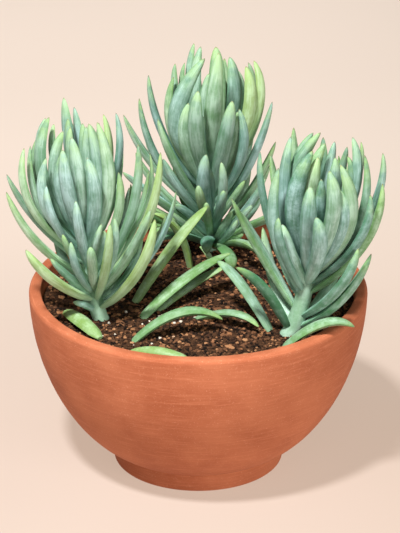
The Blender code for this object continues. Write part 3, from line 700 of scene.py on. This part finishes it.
def cut(obj, cutter):
    """Takes the cutter's shape out of an object, and removes the cutter."""
    modifier = obj.modifiers.new("cut", "BOOLEAN")
    modifier.operation = "DIFFERENCE"
    modifier.solver = "EXACT"
    modifier.object = cutter
    bpy.context.view_layer.update()
    mesh = bpy.data.meshes.new_from_object(obj.evaluated_get(bpy.context.evaluated_depsgraph_get()))
    obj.modifiers.clear()
    obj.data = mesh
    bpy.data.objects.remove(cutter)


def soil_height(x, y):
    """Height of the soil's top: a low mound with soft bumps."""
    edge = RIM_RADIUS - WALL
    share = min(1.0, math.hypot(x, y) / edge)
    mound = SOIL_EDGE + (SOIL_MIDDLE - SOIL_EDGE) * (1 - share**4)
    u, v = x / MM, y / MM
    bumps = math.sin(u / 6.1 + 1.3 * math.sin(v / 9.7)) * math.cos(v / 7.3 + math.sin(u / 11.9))
    ripple = math.sin(u / 3.7 - v / 4.9) * 0.4
    return mound + SOIL_RELIEF * (bumps + ripple) * (1 - share**6)


def crumbled_height(x, y):
    """The soil's top with its crumbs, in which the loose grit is bedded."""
    spot = Vector((x, y, 0))
    crumbs = noise.noise(spot / COARSE_CRUMB) + FINE_CRUMB_SHARE * noise.noise(spot / FINE_CRUMB)
    return soil_height(x, y) + CRUMB_RELIEF * crumbs


def make_soil(material):
    """A body of soil that fits the bowl, with a finely crumbled top."""
    edge = inner_radius(SOIL_EDGE) - SOIL_GAP
    bottom = FLOOR_TOP + SOIL_BOTTOM_GAP
    rings = []
    for share in SOIL_SIDE_SHARES:
        height = bottom + (SOIL_EDGE - SOIL_SIDE_DROP - bottom) * share
        rings.append(circle(inner_radius(height) - 2 * SOIL_GAP, height, SOIL_SEGMENTS))
    for k in range(SOIL_RINGS):
        ring = circle(edge * (1 - k / SOIL_RINGS), 0, SOIL_SEGMENTS)
        rings.append([(x, y, crumbled_height(x, y)) for x, y, _ in ring])
    built = bmesh.new()
    join_rings(built, rings, (0, 0, bottom), (0, 0, crumbled_height(0, 0)))
    return add_mesh("soil_mix", built, material)


def lump_shape(draw):
    """A small uneven lump, as points and faces, about one unit across."""
    lump = bmesh.new()
    bmesh.ops.create_icosphere(lump, subdivisions=1, radius=0.5)
    for vert in lump.verts:
        vert.co *= 1 + draw.uniform(-LUMP_UNEVENNESS, LUMP_UNEVENNESS)
    points = [vert.co.copy() for vert in lump.verts]
    faces = [tuple(vert.index for vert in face.verts) for face in lump.faces]
    lump.free()
    return points, faces


def scatter_spot(draw):
    """A random spot on the soil, clear of the wall."""
    radius = (inner_radius(SOIL_EDGE) - GRIT_WALL_GAP) * math.sqrt(draw.random())
    turn = draw.uniform(0, math.tau)
    return radius * math.cos(turn), radius * math.sin(turn)


def make_grit(material):
    """Loose crumbs, stones, bark bits and perlite grains bedded in the top of the soil, all in one mesh."""
    draw = random.Random(GRIT_SEED)
    shapes = [lump_shape(draw) for _ in range(LUMP_SHAPES)]
    built = bmesh.new()
    tone_layer = built.verts.layers.float.new("tone")
    for kind in LUMPS.values():
        darkest, palest = kind["tone"]
        for _ in range(kind["count"]):
            spot = scatter_spot(draw)
            tone = darkest + (palest - darkest) * draw.random() ** TONE_POWER
            add_lump(built, tone_layer, draw, shapes, kind, spot, tone)
    for _ in range(PERLITE["count"]):
        spot = tuple(draw.gauss(middle, PERLITE_SPREAD) * MM for middle in PERLITE_MIDDLE)
        if math.hypot(*spot) < PERLITE_REACH:
            add_lump(built, tone_layer, draw, shapes, PERLITE, spot, PERLITE_TONE)
    return add_mesh("soil_grit", built, material, GRIT_EDGE_ANGLE)


def add_lump(built, tone_layer, draw, shapes, kind, spot, tone):
    """Beds one lump in the soil's top at a spot, turned and tilted at random."""
    size = draw.uniform(*kind["size"]) * MM
    points, faces = draw.choice(shapes)
    stretch = draw.uniform(*kind["stretch"])
    turn = draw.uniform(0, math.tau)
    tilt = draw.uniform(-LUMP_TILT, LUMP_TILT)
    placed = Matrix.Rotation(turn, 3, "Z") @ Matrix.Rotation(tilt, 3, "X")
    centre = Vector((*spot, crumbled_height(*spot) + size * kind["height"] * LUMP_LIFT))
    verts = []
    for point in points:
        shaped = Vector((point.x * stretch, point.y, point.z * kind["height"])) * size
        vert = built.verts.new(centre + placed @ shaped)
        vert[tone_layer] = tone
        verts.append(vert)
    for face in faces:
        built.faces.new([verts[i] for i in face])


def leaf_swell(share):
    """Half width at a share of the way from root to tip, as a share of the widest."""
    neck = NECK_SHARE + (1 - NECK_SHARE) * math.sin(math.pi / 2 * min(1.0, share / NECK_END))
    root = min(1.0, ROOT_TAPER + (1 - ROOT_TAPER) * share / ROOT_END)
    return root * neck * (1 - share**TIP_POWER) ** TIP_ROUNDNESS


def add_leaf(built, layers, draw, shape, look):
    """Adds a fine finger-like leaf on the same arc as the part's own leaf.

    Its shape is (root, middle, tip, outward direction, half width), and its look is its hue, sun and bare.
    """
    root, middle, tip, out, half_width = shape
    control = middle * 2 - (root + tip) / 2
    side = (tip - root).cross(out).normalized()
    phase = draw.uniform(0, math.tau)
    wave = draw.uniform(*LEAF_WAVE) * MM
    shares = [1 - (1 - k / LEAF_RINGS) ** LEAF_SPACING for k in range(LEAF_RINGS)]
    turns = [math.tau * i / LEAF_SIDES for i in range(LEAF_SIDES)]
    rings = []
    for share in shares:
        centre = root * (1 - share) ** 2 + control * 2 * share * (1 - share) + tip * share**2
        along = ((control - root) * (1 - share) + (tip - control) * share).normalized()
        normal = side.cross(along).normalized()
        across = along.cross(normal)
        centre = centre + normal * wave * math.sin(phase + LEAF_WAVE_TURN * share) * share * (1 - share)
        wide = half_width * leaf_swell(share)
        ring = []
        for turn in turns:
            rise = math.sin(turn) * abs(math.sin(turn)) ** LENS
            thick = wide * LEAF_THICKNESS_SHARE * (1.0 if rise > 0 else INNER_FACE_SHARE)
            ring.append(centre + across * wide * math.cos(turn) + normal * thick * rise)
        rings.append(ring)
    *rows, (point,) = join_rings(built, rings, None, tip)
    look = {**look, "mark": draw.random()}
    set_look(point, layers, look, along=1.0)
    for row, share in zip(rows, shares):
        for vert, turn in zip(row, turns):
            set_look(vert, layers, look, along=share, across=math.cos(turn), face=math.sin(turn))


def set_look(vert, layers, look, **place):
    """Writes a leaf's look and a vertex's place on it. What isn't given is 0."""
    for name, value in {**look, **place}.items():
        vert[layers[name]] = value


def limited(value):
    return min(1.0, max(0.0, value))


def leaf_layers(built):
    return {name: built.verts.layers.float.new(name) for name in LEAF_ATTRIBUTES}


def on_soil(x, y, up=0):
    """A point so many mm above the soil, at x and y in mm."""
    return Vector((x * MM, y * MM, soil_height(x * MM, y * MM) + up * MM))


def foot_point(shoot):
    return on_soil(*shoot["foot"])


def stem_point(shoot, height):
    """The middle of the stem at a height above the soil, in metres."""
    share = max(0.0, height / STEM_HEIGHT)
    lean = Vector((*shoot["lean"], 0)) * MM * share**LEAN_POWER
    return foot_point(shoot) + lean + Vector((0, 0, height))


def read_point(shoot, across, up, behind):
    """The point that was read as so far across and up from the foot, if it is so far behind it."""
    return foot_point(shoot) + Vector((across, behind, up - behind * SIGHT_SLOPE)) * MM


def read_leaves(shoot):
    """The leaves that can be made out: root, middle, tip, outward direction and half width of each."""
    for across, up, behind, middle_across, middle_up, root_height, half_width in shoot["leaves"]:
        tip = read_point(shoot, across, up, behind)
        middle = read_point(shoot, middle_across, middle_up, behind * MIDDLE_BEHIND_SHARE)
        stem = stem_point(shoot, root_height * MM)
        facing = level_direction(stem, tip - Vector((0, TURN_TO_FRONT, 0)))
        wide = half_width * LEAF_BREADTH * MM
        yield stem + level_direction(stem, tip) * ROOT_OFFSET, middle, tip, lowered(facing), wide


def level_direction(start, end):
    """The level direction from one point towards another."""
    return Vector((end.x - start.x, end.y - start.y, 0)).normalized()


def lowered(outward):
    return outward - Vector((0, 0, OUTWARD_DROOP))


def usual_leaf(shoot, tip, root_height):
    """A leaf from the stem to a tip with the usual outward bow, given as read_leaves gives them."""
    stem = stem_point(shoot, root_height)
    chord = tip - stem
    reach = Vector((chord.x, chord.y, 0)).length
    outward = level_direction(stem, tip)
    root = stem + outward * ROOT_OFFSET
    swing = chord.cross(lowered(outward)).cross(chord).normalized()
    middle = root.lerp(tip, MIDDLE_ALONG) + swing * (chord.length * UPRIGHT_BOW + reach * REACH_BOW)
    half_width = min(MOST_HALF_WIDTH, SLIM_HALF_WIDTH + WIDTH_PER_LENGTH * chord.length)
    return root, middle, tip, lowered(outward), half_width


def usual_root_height(shoot, tip):
    """The height on the stem from which a leaf to this tip is as long as usual."""
    shares = [k / ROOT_TRIALS for k in range(ROOT_TRIALS + 1)]
    heights = [STEM_HEIGHT * (LOWEST_ROOT_SHARE * (1 - s) + HIGHEST_ROOT_SHARE * s) for s in shares]
    return min(heights, key=lambda height: abs((tip - stem_point(shoot, height)).length - REAR_LENGTH))


def rear_leaves(shoot, draw):
    """The leaves round the far side of a shoot, tier by tier."""
    lean = Vector((*shoot["lean"], 0)) * REAR_LEAN_SHARE
    for reach, up, count in REAR_TIERS:
        for k in range(count):
            turn = REAR_START + REAR_SPAN * (k + 0.5) / count
            turn += math.radians(draw.uniform(-REAR_JITTER, REAR_JITTER))
            far = reach + draw.uniform(-REAR_JITTER, REAR_JITTER)
            height = up + draw.uniform(-REAR_JITTER, REAR_JITTER)
            reach_out = Vector((far * math.cos(turn), far * math.sin(turn), height))
            tip = foot_point(shoot) + (lean + reach_out) * MM
            yield usual_leaf(shoot, tip, usual_root_height(shoot, tip))


def heart_leaves(shoot):
    """The young leaves that close over the top of a stem."""
    lean = Vector((*shoot["lean"], 0)) * HEART_LEAN_SHARE
    for k in range(HEART_LEAVES):
        turn = GOLDEN_ANGLE * k + HEART_TURN
        reach = Vector((math.cos(turn), math.sin(turn), 0)) * HEART_REACH
        tip = foot_point(shoot) + (lean + reach + Vector((0, 0, HEART_TIP + HEART_STEP * k))) * MM
        yield usual_leaf(shoot, tip, STEM_HEIGHT * HEART_ROOT_SHARE)


def add_stem(built, layers, shoot):
    """Adds a shoot's stem, from its end in the soil to its pointed top."""
    foot_radius = shoot["stem_radius"] * MM
    rings = []
    for k in range(STEM_RINGS):
        height = -STEM_DEPTH + (STEM_HEIGHT + STEM_DEPTH) * k / (STEM_RINGS - 1)
        radius = foot_radius + (STEM_TOP_RADIUS - foot_radius) * max(0.0, height / STEM_HEIGHT)
        radius *= 1 + STEM_RIPPLE * math.sin(height / MM * STEM_RIPPLE_TURN)
        centre = stem_point(shoot, height)
        rings.append([centre + point for point in circle(radius, 0, STEM_SIDES)])
    for row in join_rings(built, rings, None, stem_point(shoot, STEM_HEIGHT + STEM_TOP_POINT)):
        for vert in row:
            set_look(vert, layers, STEM_LOOK)


def make_shoot(name, draw, looks_draw, material):
    """A stem with all its leaves. The low ones are more yellowed and more worn."""
    shoot = SHOOTS[name]
    built = bmesh.new()
    layers = leaf_layers(built)
    add_stem(built, layers, shoot)
    leaves = [*read_leaves(shoot), *rear_leaves(shoot, draw), *heart_leaves(shoot)]
    # Only the leaves that were read have a tip in the tables
    readings = [row[:2] for row in shoot["leaves"]] + [None] * len(leaves)
    for shape, reading in zip(leaves, readings):
        tip = shape[2]
        low = 1 - min(1.0, (tip.z - foot_point(shoot).z) / LOW_LEAF_TIP)
        look = {
            "hue": looks_draw.random(),
            "sun": limited(low * LOW_LEAF_SUN + looks_draw.uniform(*SUN_VARIATION)),
            "bare": limited(shoot["bare"] + low * LOW_LEAF_BARE + looks_draw.uniform(*BARE_VARIATION)),
        }
        if reading in shoot["yellowed"]:
            look.update(hue=1.0, sun=looks_draw.uniform(*YELLOWED_SUN))
        if reading in shoot["bluish"]:
            look.update(hue=0.0, sun=0.0)
        add_leaf(built, layers, looks_draw, shape, look)
    return add_mesh(name + "_leaves", built, material, LEAF_EDGE_ANGLE)


def make_planted_leaf(name, looks_draw, material):
    """A leaf with its root in the soil. Its middle and tip are measured up from the soil at its root."""
    (root_x, root_y), *higher, half_width = PLANTED_LEAVES[name]
    start = on_soil(root_x, root_y)
    middle, tip = (Vector((x * MM, y * MM, start.z + up * MM)) for x, y, up in higher)
    away = (middle - start).normalized()
    root = start - (away + Vector((0, 0, 1))).normalized() * PLANTING_DEPTH
    built = bmesh.new()
    look = {
        "hue": looks_draw.random(),
        "sun": looks_draw.uniform(*PLANTED_SUN),
        "bare": looks_draw.uniform(*PLANTED_BARE),
    }
    shape = (root, middle, tip, Vector((0, 0, -1)), half_width * MM)
    add_leaf(built, leaf_layers(built), looks_draw, shape, look)
    return add_mesh(name + "_blade", built, material, LEAF_EDGE_ANGLE)


def make_lying_leaf(name, looks_draw, material):
    """A leaf set down so that its lowest point almost touches the soil."""
    *points, half_width = LYING_LEAVES[name]
    built = bmesh.new()
    shape = (*(on_soil(*point) for point in points), Vector((0, 0, 1)), half_width * MM)
    add_leaf(built, leaf_layers(built), looks_draw, shape, LYING_LOOK)
    closest = min(vert.co.z - soil_height(vert.co.x, vert.co.y) for vert in built.verts)
    for vert in built.verts:
        vert.co.z += REST_GAP - closest
    return add_mesh(name + "_blade", built, material, LEAF_EDGE_ANGLE)


def show(piece, slot, *nodes):
    """Fixes a finished piece to the part in place of its CAD nodes."""
    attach(piece, "root")
    if nodes:
        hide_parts(*nodes)


def make_backdrop():
    """A pale floor that curves up into a wall behind."""
    turns = (math.pi / 2 * k / STAGE_CURVE_STEPS for k in range(1, STAGE_CURVE_STEPS + 1))
    outline = [(STAGE_FRONT, 0.0), (STAGE_BACK, 0.0)]
    outline += [(STAGE_BACK + STAGE_CURVE * math.sin(t), STAGE_CURVE * (1 - math.cos(t))) for t in turns]
    outline += [(STAGE_BACK + STAGE_CURVE, STAGE_TOP)]
    built = bmesh.new()
    rows = [[built.verts.new((x, y, z)) for x in (-STAGE_HALF_WIDTH, STAGE_HALF_WIDTH)] for y, z in outline]
    for lower, upper in zip(rows, rows[1:]):
        built.faces.new((lower[0], lower[1], upper[1], upper[0]))
    add_mesh("backdrop", built, backdrop_material())


def aim(obj, target):
    obj.rotation_euler = (Vector(target) - obj.location).to_track_quat("-Z", "Y").to_euler()


def add_lamp(name, place, size, power, colour):
    light = bpy.data.lights.new(name, "AREA")
    light.shape = "DISK"
    light.size = size
    light.energy = power
    light.color = colour
    obj = bpy.data.objects.new(name, light)
    obj.location = place
    aim(obj, LAMP_TARGET)
    bpy.context.scene.collection.objects.link(obj)


def light_scene():
    world = bpy.data.worlds.new("studio")
    world.use_nodes = True
    background = world.node_tree.nodes["Background"]
    background.inputs["Color"].default_value = SKY_COLOUR
    background.inputs["Strength"].default_value = SKY_STRENGTH
    bpy.context.scene.world = world
    for name, lamp in LAMPS.items():
        add_lamp(name, *lamp)
    bpy.context.scene.view_settings.view_transform = "Standard"


def add_camera():
    camera = bpy.data.objects.new("camera", bpy.data.cameras.new("camera"))
    target = Vector(CAMERA_TARGET)
    camera.location = target + CAMERA_DISTANCE * Vector((0, -math.cos(SIGHT_FALL), math.sin(SIGHT_FALL)))
    camera.data.lens = CAMERA_LENS
    aim(camera, target)
    bpy.context.scene.collection.objects.link(camera)
    bpy.context.scene.camera = camera


def main():
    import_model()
    leaf = leaf_material()
    show(make_bowl(terracotta_material()), "terracotta", "bowl")
    show(make_soil(soil_material()), "soil", "soil")
    show(make_grit(grit_material()), "soil")
    draw = random.Random(SEED)
    looks_draw = random.Random(SEED + 1)
    for name in SHOOTS:
        show(make_shoot(name, draw, looks_draw, leaf), "leaf", name)
    for name in PLANTED_LEAVES:
        show(make_planted_leaf(name, looks_draw, leaf), "leaf", name)
    for name in LYING_LEAVES:
        show(make_lying_leaf(name, looks_draw, leaf), "leaf", name)
    make_backdrop()
    light_scene()
    add_camera()


main()
